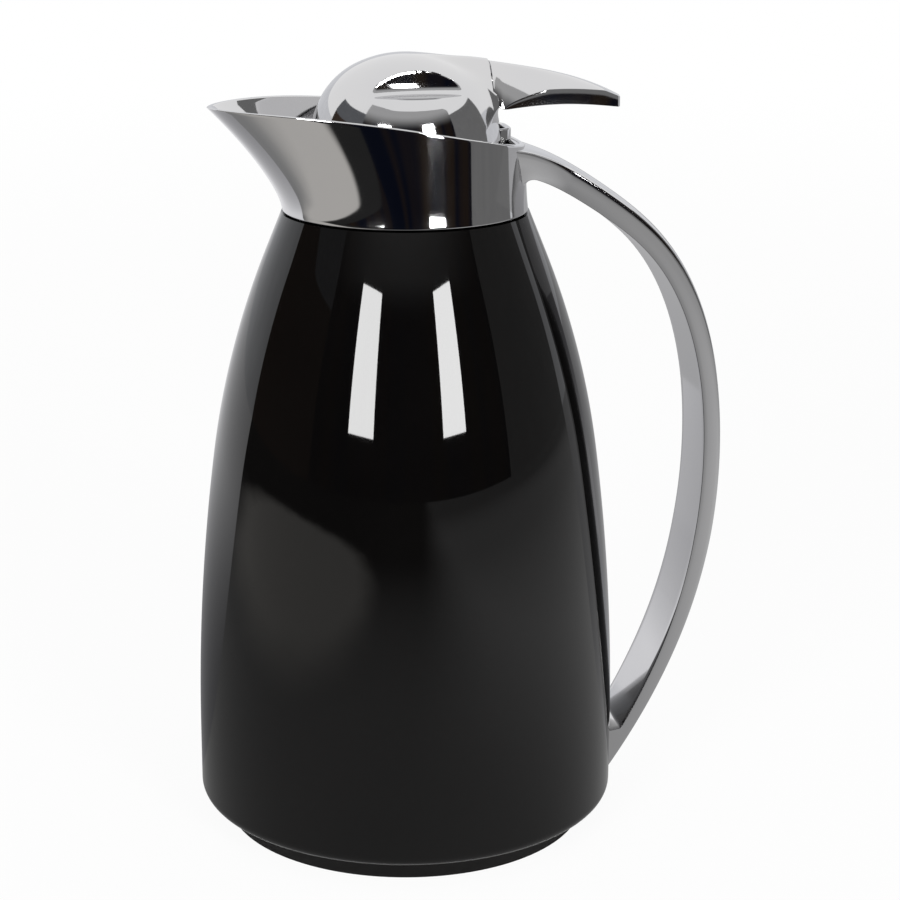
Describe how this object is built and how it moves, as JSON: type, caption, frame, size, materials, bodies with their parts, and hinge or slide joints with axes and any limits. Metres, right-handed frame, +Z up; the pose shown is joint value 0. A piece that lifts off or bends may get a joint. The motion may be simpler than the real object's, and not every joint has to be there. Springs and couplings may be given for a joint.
{
  "type": "vacuum jug",
  "caption": "Tapered vacuum jug with a glossy lacquered body, a chrome pouring collar with a looped strap handle and a domed hinged lid opened by a thumb lever.",
  "frame": {"origin": "on the jug's axis, in the plane of the foot ring it stands on", "axes": "+Z up along the jug's axis, -X towards the spout, +X towards the handle, +Y to the jug's left when looking from the handle to the spout"},
  "size_m": [0.173, 0.137, 0.2516],
  "materials": {
    "lacquer": "high-gloss lacquer",
    "foot": "satin",
    "chrome": "mirror polished",
    "steel": "plain",
    "silvered_glass": "silvered",
    "seal": "matte",
    "inner_plastic": "moulded",
    "foam": "foamed"
  },
  "bodies": {
    "jug": {"body_shell": "lacquer", "base_cap": "foot", "collar": "chrome", "hinge_pin": "steel", "inner_flask": "silvered_glass", "outer_flask": "silvered_glass", "neck_gasket": "seal", "liner_buffer": "seal", "collar_nut": "inner_plastic", "clamp_plug": "foot", "handle_screw": "steel", "handle_washer": "steel"},
    "lid": {"lid_dome": "chrome", "lid_lever": "chrome", "lid_carrier": "inner_plastic", "stopper_cup": "inner_plastic", "stopper_foam": "foam", "stopper_gasket": "seal", "lid_screws": "steel", "lever_screws": "steel"}
  },
  "joints": [
    {"name": "lid_hinge", "type": "hinge", "parent": "jug", "child": "lid", "pos_m": [0.0284, 0, 0.2246], "axis": [0, 1, 0], "range_deg": [0, 32]}
  ]
}
